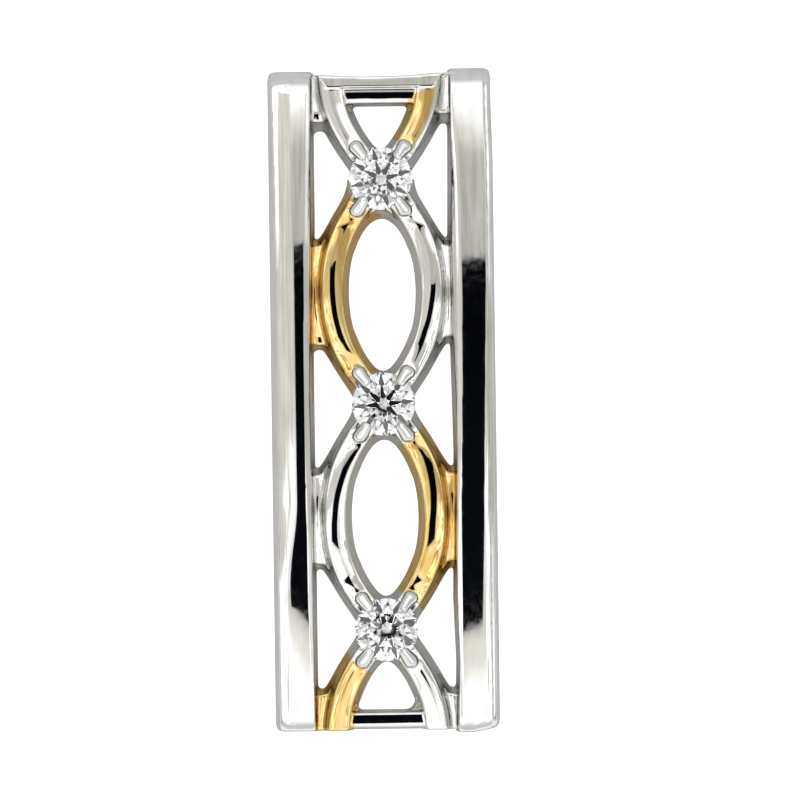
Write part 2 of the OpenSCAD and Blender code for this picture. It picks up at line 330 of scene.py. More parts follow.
# The right face droops above its start, and the left one below its start. The left one's droop has
# a soft start and grows outwards: it is measured from a line this far in, and has a least measure
RIGHT_DROOP_START = 3.0
LEFT_DROOP_START = -7.2
LEFT_DROOP_BLEND = 0.5
LEFT_DROOP_INSET = 1.6
LEFT_DROOP_LEAST = 0.2
# How much shorter the left bar is at its top end and at its bottom end
LEFT_SHORT = (0.05, 0.11)
# Distance from the long axis past which the right bar's bottom end slants
SLANT_START = 3.1
# Widths of the roundings along the face, the inner wall, the back and the ends of the chain passage
FACE_ROUND = 0.12
INNER_ROUND = 0.06
BACK_ROUND = 0.08
BORE_ROUND = 0.04
# The chain passage: how far its axis is from the top end and above the back
BORE_IN = 0.8
BORE_HEIGHT = 0.75


def smooth_step(value, start, end):
    """Soft step from 0 to 1 between start and end."""
    part = np.clip((value - start) / (end - start), 0.0, 1.0)
    return part * part * (3 - 2 * part)


def face_height(inset, y, side):
    """Height of a bar's face below its crest, and its slope across, at a distance in from the edge."""
    if side < 0:
        stations, lean = LEFT_FACE, smooth_step(-y, *LEFT_LEAN)
    else:
        stations, lean = RIGHT_FACE, np.clip(y, *RIGHT_LEAN) / FULL_MOVE
    to_top, to_bottom = (np.maximum(y, 0) / FULL_MOVE) ** 2, (np.maximum(-y, 0) / FULL_MOVE) ** 2
    height = np.zeros_like(inset)
    slope = np.full_like(inset, math.tan(math.radians(stations[0][1])))
    crest = np.full_like(inset, -np.inf)
    rise = np.zeros_like(inset)
    for (near, near_tilt, *near_move), (far, far_tilt, *far_move) in zip(stations, stations[1:]):
        start = near + near_move[0] * lean + near_move[1] * to_top + near_move[2] * to_bottom
        length = far + far_move[0] * lean + far_move[1] * to_top + far_move[2] * to_bottom - start
        first, last = math.tan(math.radians(near_tilt)), math.tan(math.radians(far_tilt))
        along = np.clip(inset - start, 0.0, length)
        bend = (last - first) / length
        height = height + first * along + bend * along ** 2 / 2
        slope = np.where(inset > start, first + bend * along, slope)
        turn = -first / bend if first * last < 0 else length
        crest = np.maximum(crest, rise + first * turn + bend * turn ** 2 / 2)
        rise = rise + (first + last) / 2 * length
    return height - crest, slope


def bore_field(y, z):
    """Distance outside the chain passage behind the top crossbar."""
    return np.hypot(y - (HALF_L - BORE_IN), z - BORE_HEIGHT) - mm(settings().bars.bore_radius)


def bar_foot(y, side):
    """Distance of a bar's inner foot from the long axis."""
    places, feet = zip(*(LEFT_FOOT if side < 0 else RIGHT_FOOT))
    return np.interp(y, places, feet)


def bar_field(side, x, y, z):
    """Distance outside one side bar: side is -1 on the left and 1 on the right."""
    bars = settings().bars
    out = side * x
    edge = HALF_W - (NARROWING * smooth_step(y, *NARROWING_PLACES) if side > 0 else 0.0)
    inset = edge - out
    height, slope = face_height(inset, y, side)
    if side < 0:
        turned = np.clip(y - LEFT_TURN_START, -LEFT_TURN_LENGTH, 0.0)
        height = height + bars.left_twist * turned * (inset - TURN_INSET)
        outwards = np.clip(LEFT_DROOP_INSET - inset, LEFT_DROOP_LEAST, LEFT_DROOP_INSET)
        below = smooth_max(LEFT_DROOP_START - y, 0.0, LEFT_DROOP_BLEND)
        height = height - bars.left_droop * below * outwards
        top_short, bottom_short = LEFT_SHORT
    else:
        turned = np.minimum(y - RIGHT_TURN_START, 0.0)
        height = height + bars.right_twist * turned * (inset - TURN_INSET)
        height = height - bars.right_droop * np.maximum(y - RIGHT_DROOP_START, 0.0)
        top_short, bottom_short = 0.0, bars.bottom_slant * np.maximum(out - SLANT_START, 0.0)
    ends = np.maximum(y - (HALF_L - top_short), -y - HALF_L + bottom_short)
    round_length = np.where(y > 0, mm(bars.top_round), mm(bars.bottom_round))
    end_drop = bars.end_slope * smooth_max(ends + round_length, 0.0, mm(bars.end_blend))
    near_end = smooth_step(ends + round_length, -mm(bars.end_blend), mm(bars.end_blend))
    steep = slope ** 2 + (bars.end_slope * near_end) ** 2
    top = (z + arch_drop(y) + end_drop - mm(bars.height) - height) / np.sqrt(1 + steep)
    inner = bar_foot(y, side) + z * bars.inner_slope - out
    walls = smooth_max(out - edge, ends, mm(bars.corner_round))
    body = smooth_max(top, walls, FACE_ROUND)
    body = smooth_max(smooth_max(body, inner, INNER_ROUND), -z, BACK_ROUND)
    return smooth_max(body, -bore_field(y, z), BORE_ROUND)


def both_bars(x, y, z):
    """Distance outside the nearer side bar."""
    return np.minimum(bar_field(-1, x, y, z), bar_field(1, x, y, z))


def crest_line(y):
    """Place and slope of the white ribbon's crest. The yellow ribbon is its mirror image."""
    ribbons = settings().ribbons
    third = mm(ribbons.fullness)
    first = mm(ribbons.swing) + third
    turn = np.pi * (y - CROSS_Y[1]) / PITCH
    place = first * np.sin(turn) + third * np.sin(3 * turn)
    slope = np.pi / PITCH * (first * np.cos(turn) + 3 * third * np.cos(3 * turn))
    return place, slope


def across(x, y, hand):
    """Distance across a ribbon from its crest: hand is 1 for the white ribbon, -1 for the yellow one."""
    place, slope = crest_line(y)
    return (x - hand * place) / np.sqrt(1 + slope ** 2)


# Width of the rounding along the undersides of the ribbons and crossbars
UNDERSIDE_ROUND = 0.12


def section(aside, z, top, low, half_top, crown_radius, draft, shoulder, shift):
    """Distance outside a crowned strip with sloping flanks, highest at shift from its middle."""
    crown = np.hypot(aside - shift, z - top + crown_radius) - crown_radius
    flank = (np.abs(aside) - half_top - (top - z) * draft) / math.hypot(1, draft)
    return smooth_max(smooth_max(crown, flank, shoulder), low - z, UNDERSIDE_ROUND)


# Tilt of a ribbon's crest towards the top end, in degrees, at places along the pendant. The lower
# ones are the same on the left and on the right
LOWER_TILT = (
    (-12.4, 0), (-8.23, 0), (-7.3, -4.5), (-6.9, -4.5), (-6.58, -0.7), (-6.48, 0.8), (-6.38, -0.7),
    (-6.25, -2.2), (-5.5, -2.2), (-5.18, -1.17), (-1.76, 2.8), (-1.4, 7), (-1, 7), (-0.1, 0))
LEFT_TILT = LOWER_TILT + (
    (1.3, -7), (1.7, -7), (1.85, -3.9), (5.06, 0.2), (5.16, 0.95), (5.8, 1.3), (6.0, 1.3), (6.24, 0.2),
    (6.32, -1.8), (6.4, 0.2), (6.6, 5), (6.9, 5), (8.03, 0), (9.2, 0), (9.6, -0.65), (10.3, -0.65),
    (11.5, -1.15), (12.4, -1.15))
RIGHT_TILT = LOWER_TILT + (
    (0.9, 2.6), (1.5, 2.4), (1.96, 1.2), (2.3, -1.0), (3.1, -2.0), (3.9, -1.0), (4.23, 0.53), (5.0, 1.2),
    (6.0, 1.3), (6.24, 0.2), (6.32, -1.8), (6.4, 0.2), (6.6, 5), (6.9, 5), (8.03, 0), (9.2, 0),
    (9.6, -0.4), (10.3, -0.6), (11.5, -1.15), (12.4, -1.15))
# Distances from a crossing between which those tilts come in
TILT_START = (0.3, 1.2)
# Each inner bulge's crown: how fast its line moves to the right along the pendant, where it is
# on the middle of the ribbon, and its radius. Upper bulges first, left then right
CROWNS = (((-0.0365, 3.55, 2.0), (0.09, 3.64, 1.9)), ((0.075, -3.67, 2.15), (0.1, -3.37, 2.5)))
# Farthest that a crown's line gets from the middle, to the left and to the right
CROWN_LIMITS = (-0.1, 0.13)
# Distances from a crossing between which those crowns come in
CROWN_START = (0.6, 1.5)


def from_crossing(y):
    """Distance along the pendant to the nearest crossing, and which crossing that is."""
    nearest = np.argmin(np.abs(np.stack([y - crossing for crossing in CROSS_Y])), axis=0)
    return y - np.array(CROSS_Y)[nearest], nearest


def crest_drops():
    """Places along the pendant, and how far each side's crest is below its highest place there."""
    step = 0.01
    places = np.arange(LOWER_TILT[0][0], LEFT_TILT[-1][0], step)
    drops = []
    for stations in (LEFT_TILT, RIGHT_TILT):
        tilt = np.interp(places, *zip(*stations))
        drop = np.cumsum(np.tan(np.radians(tilt))) * step
        band = sum((places < crossing).astype(int) for crossing in CROSS_Y)
        for number in range(len(CROSS_Y) + 1):
            drop[band == number] -= drop[band == number].min()
        drops.append(drop * smooth_step(np.abs(from_crossing(places)[0]), *TILT_START))
    return places, drops


CREST_PLACES, CREST_DROPS = crest_drops()


def crown_line(x, y):
    """Where a ribbon's crown is highest, to the right of its middle, and its radius."""
    usual = mm(settings().ribbons.crown_radius)
    shift = np.zeros_like(y)
    radius = np.full_like(y, usual)
    for middle, crowns in zip(BULGE_Y[1:3], CROWNS):
        for side, (slope, zero, crown) in zip((-1, 1), crowns):
            here = (np.abs(y - middle) < PITCH / 2) & (x * side >= 0)
            shift = np.where(here, np.clip(slope * (y - zero), *CROWN_LIMITS), shift)
            radius = np.where(here, crown, radius)
    inner = smooth_step(np.abs(from_crossing(y)[0]), *CROWN_START)
    return shift * inner, usual + (radius - usual) * inner


def ribbon_field(x, y, z, hand):
    """Distance outside one ribbon, with z from the arched front's own level."""
    ribbons = settings().ribbons
    left_drop, right_drop = (np.interp(y, CREST_PLACES, drops) for drops in CREST_DROPS)
    drop = np.where(x < 0, left_drop, right_drop)
    shift, radius = crown_line(x, y)
    return section(across(x, y, hand), z, mm(ribbons.top) - drop, mm(ribbons.top - ribbons.depth),
                   mm(ribbons.half_top), radius, ribbons.draft, mm(ribbons.shoulder), shift)


# How far the side windows reach from a crossing: up and down on the left, then on the right
WINDOW_REACH = ((1.78, 2.22, 2.04, 2.26), (2.0, 2.36, 2.28, 2.34), (2.22, 2.18, 2.3, 2.2))
# The sawn side of a window: its distance from the long axis at a crossing, and how fast it grows
WINDOW_START = 0.9
WINDOW_SLOPE = 0.64
# Roundings of a window's ends beside the ribbon and beside the bar
WINDOW_ROUND = 0.2
WINDOW_BAR_ROUND = 0.5
# How far a web reaches into the bar's foot and under the ribbon's crest
WEB_INTO_BAR = 0.05
WEB_INTO_RIBBON = 0.1
# A web's thickness, the radius of its top along the pendant, and how far that arc reaches
WEB_THICKNESS = 0.8
WEB_RADIUS = 14.0
WEB_ARC = 1.6
# How much the webs rise towards the top end, and between which places
WEB_RISE = 0.27
WEB_RISE_PLACES = (8.5, 10.5)
# Roundings at a web's side, at its underside and round its edges
WEB_SIDE_ROUND = 0.05
WEB_LOW_ROUND = 0.1
WEB_EDGE_ROUND = 0.3
# The chamfer round a window: its height at the sawn wall, its slope and its rounding
CHAMFER_HEIGHT = 1.02
CHAMFER_SLOPE = 1.7
CHAMFER_ROUND = 0.12
# The hollow along a web lies midway between the ribbon's crest and this distance from the long axis
HOLLOW_OUTER = 2.98
# How far it wanders, its turns along the pendant, half the width of its flat bottom, how fast its
# sides rise, and how far they reach
HOLLOW_WANDER = 0.02
HOLLOW_TURNS = 1.9
HOLLOW_FLAT = 0.055
HOLLOW_RISE = 1.3
HOLLOW_REACH = 0.32
# Draw marks: their depth, spacing, wander and turns, the distances from the long axis between
# which they come in, and how far they stay off the hollow's middle
MARK_DEPTH = 0.006
MARK_SPACING = 0.15
MARK_WANDER = 0.03
MARK_TURNS = 2.6
MARKS_START = (2.1, 2.3)
MARKS_OFF_HOLLOW = (0.06, 0.14)


def web_height(out, y, crest):
    """Height of the webs' tops at a distance out from the long axis, beside a crest that far out."""
    hollow = (crest + HOLLOW_OUTER) / 2 + HOLLOW_WANDER * np.sin(HOLLOW_TURNS * y)
    off_hollow = np.abs(out - hollow)
    wander = MARK_WANDER * np.sin(MARK_TURNS * y)
    marks = MARK_DEPTH * smooth_step(out, *MARKS_START) * np.sin(2 * np.pi * (out - wander) / MARK_SPACING)
    marks = marks * smooth_step(off_hollow, *MARKS_OFF_HOLLOW)
    sides = HOLLOW_RISE * np.clip(off_hollow - HOLLOW_FLAT, 0.0, HOLLOW_REACH) ** 2
    from_bulge = np.min(np.abs(np.stack([y - middle for middle in BULGE_Y[1:3]])), axis=0)
    fall = np.minimum(from_bulge, WEB_ARC) ** 2 / (2 * WEB_RADIUS)
    level = mm(settings().ribbons.web_top)
    return level + sides + marks - fall + WEB_RISE * smooth_step(y, *WEB_RISE_PLACES)


def web_field(x, y, z):
    """Distance outside the webs that the sawn side windows leave between the bulges and the bars."""
    out = np.abs(x)
    away, nearest = from_crossing(y)
    reach = np.array(WINDOW_REACH)
    up_reach = np.where(x < 0, reach[nearest, 0], reach[nearest, 2])
    down_reach = np.where(x < 0, reach[nearest, 1], reach[nearest, 3])
    end = np.where(away > 0, up_reach, down_reach) - np.abs(away)
    side = (out - WINDOW_START - WINDOW_SLOPE * np.abs(away)) / math.hypot(1, WINDOW_SLOPE)
    wall = np.where(x < 0, bar_foot(y, -1), bar_foot(y, 1)) + WEB_INTO_BAR - out
    metal = smooth_min(smooth_min(side, end, WINDOW_ROUND), wall, WINDOW_BAR_ROUND)
    crest = np.abs(crest_line(y)[0])
    block = smooth_max(metal, crest - WEB_INTO_RIBBON - out, WEB_SIDE_ROUND)
    chamfer = CHAMFER_HEIGHT - CHAMFER_SLOPE * metal
    tops = smooth_min(web_height(out, y, crest), chamfer, CHAMFER_ROUND)
    low = mm(settings().ribbons.web_top) - WEB_THICKNESS
    return smooth_max(block, smooth_max(z - tops, low - z, WEB_LOW_ROUND), WEB_EDGE_ROUND)


# Width of the fillet that rounds the middle windows' pointed ends, above and below each stone
APEX_WIDTHS = ((0.7, 2.0), (1.15, 1.5), (1.1, 1.15))
# The fillet's face: its height at a distance from the crossing, how fast it falls from there, its
# underside, its roundings, and how far from the crossing it reaches
APEX_HEIGHT = 1.9
APEX_AWAY = 0.95
APEX_FALL = 0.7
APEX_LOW = 0.72
APEX_ROUND = 0.16
APEX_LOW_ROUND = 0.1
APEX_REACH = 3.2
# Stands for the distance of places that are far from the metal
FAR_OFF = 9.0


def apex_field(x, y, z):
    """Distance outside the metal that rounds the pointed ends of the middle windows."""
    ribbons = settings().ribbons
    edge = mm(ribbons.half_top) + (mm(ribbons.top) - z) * ribbons.draft
    slant = math.hypot(1, ribbons.draft)
    away, nearest = from_crossing(y)
    fillets = np.array(APEX_WIDTHS)
    width = np.where(away > 0, fillets[nearest, 0], fillets[nearest, 1])
    white, yellow = ((np.abs(across(x, y, hand)) - edge) / slant for hand in (1, -1))
    plan = np.where(np.abs(away) < APEX_REACH, smooth_min(white, yellow, width), FAR_OFF)
    face = (z - APEX_HEIGHT + APEX_FALL * (np.abs(away) - APEX_AWAY)) / math.hypot(1, APEX_FALL)
    return smooth_max(smooth_max(plan, face, APEX_ROUND), APEX_LOW - z, APEX_LOW_ROUND)


# The dipped top edge between the bars: how far below the ends its lowest place is, how much it
# rises towards the bars over half its length, and its slope to the right
DIP = 0.24
DIP_RISE = 0.1
DIP_HALF = 2.46
DIP_SLOPE = 0.008


def top_edge(x):
    """Place of the dipped top edge between the bars."""
    return HALF_L - DIP + DIP_RISE * np.minimum(np.abs(x) / DIP_HALF, 1.0) ** 2 + DIP_SLOPE * x


# The front rim: how far below the ends its lower edge and its middle are, how much the lower edge
# rises beside the bars, and between which distances from the long axis
RIM_LOWER = 0.66
RIM_MIDDLE = 0.45
RIM_RISE = 0.45
RIM_RISE_PLACES = (1.9, 2.3)
# Its height, its tilt towards the top end, the radius of its face, its underside and its roundings
RIM_HEIGHT = 1.71
RIM_TILT = 0.034
RIM_RADIUS = 14.0
RIM_LOW = 1.2
RIM_ROUND = 0.1
RIM_FACE_ROUND = 0.07
RIM_LOW_ROUND = 0.08


def rim_field(x, y, z):
    """Distance outside the front rim along the top edge."""
    lower = HALF_L - RIM_LOWER + RIM_RISE * smooth_step(np.abs(x), *RIM_RISE_PLACES)
    up = y - (HALF_L - RIM_MIDDLE)
    face = z - RIM_HEIGHT + RIM_TILT * up + up ** 2 / (2 * RIM_RADIUS)
    band = smooth_max(y - top_edge(x), lower - y, RIM_ROUND)
    return smooth_max(smooth_max(band, face, RIM_FACE_ROUND), RIM_LOW - z, RIM_LOW_ROUND)


# Each crossbar's middle, half width and crown radius, where its crest is above its middle, which
# way its window lies, and the widths of the fillets in that window's corners, left and right
CROSSBARS = (
    {"middle": 11.07, "half": 0.31, "crown": 2.5, "crest": 0.05, "window": -1, "fillets": (0.85, 0.85)},
    {"middle": -11.5, "half": 0.27, "crown": 4.4, "crest": 0.02, "window": 1, "fillets": (0.9, 1.35)})
# The height of their crests and undersides, the lean of their flanks, the rounding of their
# shoulders, how far they reach from the long axis, and the rounding there
CROSSBAR_TOP = 1.64
CROSSBAR_LOW = 1.0
CROSSBAR_DRAFT = 0.17
CROSSBAR_SHOULDER = 0.12
CROSSBAR_REACH = 1.5
CROSSBAR_END_ROUND = 0.1


def crossbar_field(x, y, z, crossbar):
    """Distance outside one crossbar between the ribbons' ends."""
    strip = section(y - crossbar["middle"], z, CROSSBAR_TOP, CROSSBAR_LOW, crossbar["half"],
                    crossbar["crown"], CROSSBAR_DRAFT, CROSSBAR_SHOULDER, crossbar["crest"])
    return smooth_max(strip, np.abs(x) - CROSSBAR_REACH, CROSSBAR_END_ROUND)


# The low fillets in the end windows' corners: their height at the crossbar, how fast they fall
# from there, their underside, their roundings, and how far from the crossbar they reach
CORNER_HEIGHT = 1.5
CORNER_FALL = 0.9
CORNER_LOW = 0.95
CORNER_ROUND = 0.1
CORNER_LOW_ROUND = 0.08
CORNER_REACH = 1.2


def corner_field(x, y, z):
    """Distance outside the low fillets in the corners between the ribbons and the crossbars."""
    ribbons = settings().ribbons
    edge = mm(ribbons.half_top) + (mm(ribbons.top) - z - arch_drop(y)) * ribbons.draft
    beside = np.minimum(np.abs(across(x, y, 1)), np.abs(across(x, y, -1))) - edge
    inner = np.abs(x) < np.abs(crest_line(y)[0])
    fillets = np.full_like(x, FAR_OFF)
    for crossbar in CROSSBARS:
        from_middle = y - crossbar["middle"]
        into = from_middle * crossbar["window"] - crossbar["half"]
        plan = smooth_min(beside, into, np.where(x < 0, *crossbar["fillets"]))
        face = (z - CORNER_HEIGHT + CORNER_FALL * np.maximum(into, 0.0)) / math.hypot(1, CORNER_FALL)
        fillet = smooth_max(smooth_max(plan, face, CORNER_ROUND), CORNER_LOW - z, CORNER_LOW_ROUND)
        fillet = np.maximum(fillet, -into - crossbar["half"])
        near = inner & (np.abs(from_middle) < CORNER_REACH)
        fillets = np.where(near, np.minimum(fillets, fillet), fillets)
    return fillets


# The cut of the stones: the angles above and below the girdle, and half the girdle's height
CROWN_ANGLE = math.radians(34.5)
PAVILION_ANGLE = math.radians(40.75)
HALF_GIRDLE = 0.035


def stone_field(rho, z):
    """Distance outside a stone, by the distance from its axis and the height above its girdle."""
    out = rho - mm(settings().heads.stone_radius)
    crown = out * math.sin(CROWN_ANGLE) + (z - HALF_GIRDLE) * math.cos(CROWN_ANGLE)
    pavilion = out * math.sin(PAVILION_ANGLE) - (z + HALF_GIRDLE) * math.cos(PAVILION_ANGLE)
    return np.maximum(np.maximum(crown, pavilion), out)


def head_parts(y, z):
    """Distance along from the nearest stone's axis, and height above its girdle."""
    along, nearest = from_crossing(y)
    centre = np.array(CROSS_Y)[nearest]
    tilt = centre / mm(settings().bars.arch_radius)
    up = z - mm(settings().heads.girdle) + arch_drop(centre)
    return along * np.cos(tilt) - up * np.sin(tilt), up * np.cos(tilt) + along * np.sin(tilt)


# A cup's radius at the level of the girdle, the lean of its wall, its rim and its underside
# measured from the girdle, and its roundings
CUP_RADIUS = 1.08
CUP_LEAN = 0.2
CUP_RIM = -0.2
CUP_LOW = -1.6
CUP_ROUND = 0.1


def cup_field(rho, up):
    """Distance outside the cup under a stone."""
    wall = (rho - CUP_RADIUS - up * CUP_LEAN) / math.hypot(1, CUP_LEAN)
    return smooth_max(wall, smooth_max(up - CUP_RIM, CUP_LOW - up, CUP_ROUND), CUP_ROUND)


# A claw's tip and foot: distance from the stone's axis, and height above its girdle
CLAW_TIP = (1.02, 0.1)
CLAW_FOOT = (1.43, -0.05)
# How uneven the filing leaves the claws, and its turns across, along and aside
FILING = 0.014
FILING_TURNS = (6, 4, 9)


def claw_field(x, along, up):
    """Distance outside the four claws round a stone."""
    heads = settings().heads
    turn = heads.claw_degrees
    reach = np.abs(x) * math.sin(turn) + np.abs(along) * math.cos(turn) - CLAW_TIP[0]
    aside = np.abs(x) * math.cos(turn) - np.abs(along) * math.sin(turn)
    above = up - CLAW_TIP[1]
    run, rise = CLAW_FOOT[0] - CLAW_TIP[0], CLAW_FOOT[1] - CLAW_TIP[1]
    part = np.clip((reach * run + above * rise) / (run ** 2 + rise ** 2), 0, 1)
    radius = mm(heads.claw_tip) + part * mm(heads.claw_foot - heads.claw_tip)
    turns = FILING_TURNS[0] * x + FILING_TURNS[1] * along + FILING_TURNS[2] * aside
    radius = radius + FILING * np.sin(turns)
    bead = np.sqrt((reach - part * run) ** 2 + aside ** 2 + (above - part * rise) ** 2)
    return bead - radius


# Fillets between the parts of the lattice, and the gap that is left round the stones
CUP_FILLET = 0.3
APEX_FILLET = 0.1
RIM_FILLET = 0.1
CROSSBAR_FILLET = 0.12
CORNER_FILLET = 0.05
CLAW_FILLET = 0.34
BAR_FILLET = 0.14
STONE_GAP = 0.012
# The lattice ends this far above the bars' bottom ends
LATTICE_SHORT = 0.1
# Roundings at the lattice's top end and bottom end
TOP_ROUND = 0.1
BOTTOM_ROUND = 0.12


def lattice_field(x, y, z):
    """Distance outside all the metal between the bars, blended into the bars."""
    ribbons = settings().ribbons
    level = z + arch_drop(y)
    along, up = head_parts(y, z)
    rho = np.hypot(x, along)
    metal = smooth_min(ribbon_field(x, y, level, 1), ribbon_field(x, y, level, -1),
                       mm(ribbons.crossing_fillet))
    metal = smooth_min(metal, cup_field(rho, up), CUP_FILLET)
    metal = smooth_min(metal, web_field(x, y, level), mm(ribbons.web_fillet))
    metal = smooth_min(metal, apex_field(x, y, level), APEX_FILLET)
    metal = smooth_min(metal, rim_field(x, y, z), RIM_FILLET)
    for crossbar in CROSSBARS:
        metal = smooth_min(metal, crossbar_field(x, y, z, crossbar), CROSSBAR_FILLET)
    metal = smooth_min(metal, corner_field(x, y, z), CORNER_FILLET)
    metal = smooth_min(metal, claw_field(x, along, up), CLAW_FILLET)
    metal = smooth_max(metal, y - top_edge(x), TOP_ROUND)
    metal = smooth_max(metal, -y - HALF_L + LATTICE_SHORT, BOTTOM_ROUND)
    metal = np.maximum(metal, STONE_GAP - stone_field(rho, up))
    metal = smooth_max(metal, -bore_field(y, z), BORE_ROUND)
    return smooth_min(metal, both_bars(x, y, z), BAR_FILLET)


def gradient(field, points, step=1e-4):
    """Slope of a field at points, by small steps both ways."""
    slope = np.empty_like(points)
    for axis in range(3):
        ahead, behind = points.copy(), points.copy()
        ahead[:, axis] += step
        behind[:, axis] -= step
        slope[:, axis] = (field(*ahead.T) - field(*behind.T)) / (2 * step)
    return slope


def skin(field, xs, ys, zs):
    """Quads and vertices on the zero surface of a field, over a grid with those stations."""
    stations = (xs, ys, zs)
    grid = np.meshgrid(xs, ys, zs, indexing="ij")
    value = field(*grid)
    inside = value < 0
    count = np.zeros([n - 1 for n in value.shape], dtype=np.int8)
    corners = [(i, j, k) for i in (0, 1) for j in (0, 1) for k in (0, 1)]
    for i, j, k in corners:
        count += inside[i:i + count.shape[0], j:j + count.shape[1], k:k + count.shape[2]]
    active = (count > 0) & (count < len(corners))
    cells = np.argwhere(active)
    number = np.full(count.shape, -1, dtype=np.int64)
    number[active] = np.arange(len(cells))
    total = np.zeros((len(cells), 3))
    hits = np.zeros(len(cells))
    for corner in corners:
        for axis in range(3):
            if corner[axis]:
                continue
            here = cells + corner
            there = here.copy()
            there[:, axis] += 1
            value_here = value[tuple(here.T)]
            value_there = value[tuple(there.T)]
            cut = (value_here < 0) != (value_there < 0)
            part = np.where(cut, value_here / np.where(cut, value_here - value_there, 1.0), 0.0)
            for way in range(3):
                start = stations[way][here[:, way]]
                end = stations[way][there[:, way]]
                total[:, way] += np.where(cut, start + part * (end - start), 0.0)
            hits += cut
    points = total / hits[:, None]
    quads = []
    for axis in range(3):
        next_axis, last_axis = (axis + 1) % 3, (axis + 2) % 3
        first = [slice(None)] * 3
        second = [slice(None)] * 3
        first[axis] = slice(0, -1)
        second[axis] = slice(1, None)
        one, other = inside[tuple(first)], inside[tuple(second)]
        edges = np.argwhere(one != other)
        keep = np.ones(len(edges), dtype=bool)
        for way in (next_axis, last_axis):
            keep &= (edges[:, way] > 0) & (edges[:, way] < value.shape[way] - 1)
        edges = edges[keep]
        ring = []
        for next_step, last_step in ((-1, -1), (0, -1), (0, 0), (-1, 0)):
            cell = edges.copy()
            cell[:, next_axis] += next_step
            cell[:, last_axis] += last_step
            ring.append(number[tuple(cell.T)])
        ring = np.stack(ring, axis=1)
        flip = ~one[tuple(edges.T)]
        ring[flip] = ring[flip][:, ::-1]
        quads.append(ring)
    return points, np.concatenate(quads)


def settle(field, points, reach, rounds=4):
    """Moves points onto the zero surface of a field, each by no more than reach in a round."""
    for _ in range(rounds):
        slope = gradient(field, points)
        steepness = np.maximum((slope ** 2).sum(axis=1), 1e-6)
        move = -(field(*points.T) / steepness)[:, None] * slope
        size = np.linalg.norm(move, axis=1)
        move *= np.minimum(1.0, reach / np.maximum(size, 1e-9))[:, None]
        points = points + move
    return points


def cut_faces(points, faces, measure):
    """Splits faces where a measure is zero: returns all points, the faces above it and the faces below."""
    values = measure(*points.T)
    sizes = np.array([len(face) for face in faces])
    corners = np.array([corner for face in faces for corner in face])
    starts = np.concatenate([[0], np.cumsum(sizes)[:-1]])
    positive = np.add.reduceat(values[corners] >= 0, starts)
    above = [faces[i] for i in np.flatnonzero(positive == sizes)]
    below = [faces[i] for i in np.flatnonzero(positive == 0)]
    fresh = []
    cut_edges = {}
    for i in np.flatnonzero((positive > 0) & (positive < sizes)):
        upper, lower = [], []
        for corner, after in zip(faces[i], faces[i][1:] + faces[i][:1]):
            (upper if values[corner] >= 0 else lower).append(corner)
            if (values[corner] >= 0) != (values[after] >= 0):
                start, end = min(corner, after), max(corner, after)
                if (start, end) not in cut_edges:
                    part = values[start] / (values[start] - values[end])
                    cut_edges[start, end] = len(points) + len(fresh)
                    fresh.append(points[start] + part * (points[end] - points[start]))
                upper.append(cut_edges[start, end])
                lower.append(cut_edges[start, end])
        if len(upper) > 2:
            above.append(upper)
        if len(lower) > 2:
            below.append(lower)
    if fresh:
        points = np.vstack([points, np.array(fresh)])
    return points, above, below


def unit_normals(field, points):
    """Normals of a field's zero surface at points on it."""
    slope = gradient(field, points)
    return slope / np.linalg.norm(slope, axis=1)[:, None]


def add_piece(name, points, faces, normals, material):
    """A mesh object from the faces given, with exact normals."""
    if not faces:
        raise RuntimeError("No metal was found for " + name)
    used = sorted({corner for face in faces for corner in face})
    place = {corner: number for number, corner in enumerate(used)}
    mesh = bpy.data.meshes.new(name)
    corners = [[place[corner] for corner in face] for face in faces]
    mesh.from_pydata((points[used] * MM).tolist(), [], corners)
    mesh.shade_smooth()
    mesh.normals_split_custom_set_from_vertices(normals[used].tolist())
    mesh.materials.append(material)
    piece = bpy.data.objects.new(name, mesh)
    bpy.context.scene.collection.objects.link(piece)
    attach(piece, "root")
    return piece


def feed(links, socket, value):
    """Gives a socket its value, or links it to another node's socket when that is given instead."""
    if isinstance(value, bpy.types.NodeSocket):
        links.new(value, socket)
    else:
        socket.default_value = value


def math_node(nodes, links, operation, *values):
    """A Math node: returns its result."""
    node = nodes.new("ShaderNodeMath")
    node.operation = operation
    for socket, value in zip(node.inputs, values):
        feed(links, socket, value)
    return node.outputs["Value"]


def step_node(nodes, links, value, span, low, high, kind="SMOOTHSTEP"):
    """A step of a value between the two ends of a span, from low to high: returns its result."""
    node = nodes.new("ShaderNodeMapRange")
    node.interpolation_type = kind
    for label, number in (("Value", value), ("From Min", span[0]), ("From Max", span[1]),
                          ("To Min", low), ("To Max", high)):
        feed(links, node.inputs[label], number)
    return node.outputs["Result"]


def mix_node(nodes, links, factor, low, high, kind="FLOAT", blend="MIX"):
    """A mix of two numbers or two colours: returns its result."""
    node = nodes.new("ShaderNodeMix")
    node.data_type = kind
    node.blend_type = blend
    for label, value in (("Factor", factor), ("A", low), ("B", high)):
        feed(links, node.inputs[label], value)
    return node.outputs["Result"]


def noise_node(nodes, links, place, scale, detail):
    """Soft noise over a place: returns its value."""
    node = nodes.new("ShaderNodeTexNoise")
    for label, value in (("Vector", place), ("Scale", scale), ("Detail", detail)):
        feed(links, node.inputs[label], value)
    return node.outputs["Fac"]


def bump_node(nodes, links, height, depth):
    """A bump of a height, as deep as given: returns its normal."""
    node = nodes.new("ShaderNodeBump")
    for label, value in (("Strength", 1), ("Height", height), ("Distance", depth)):
        feed(links, node.inputs[label], value)
    return node.outputs["Normal"]


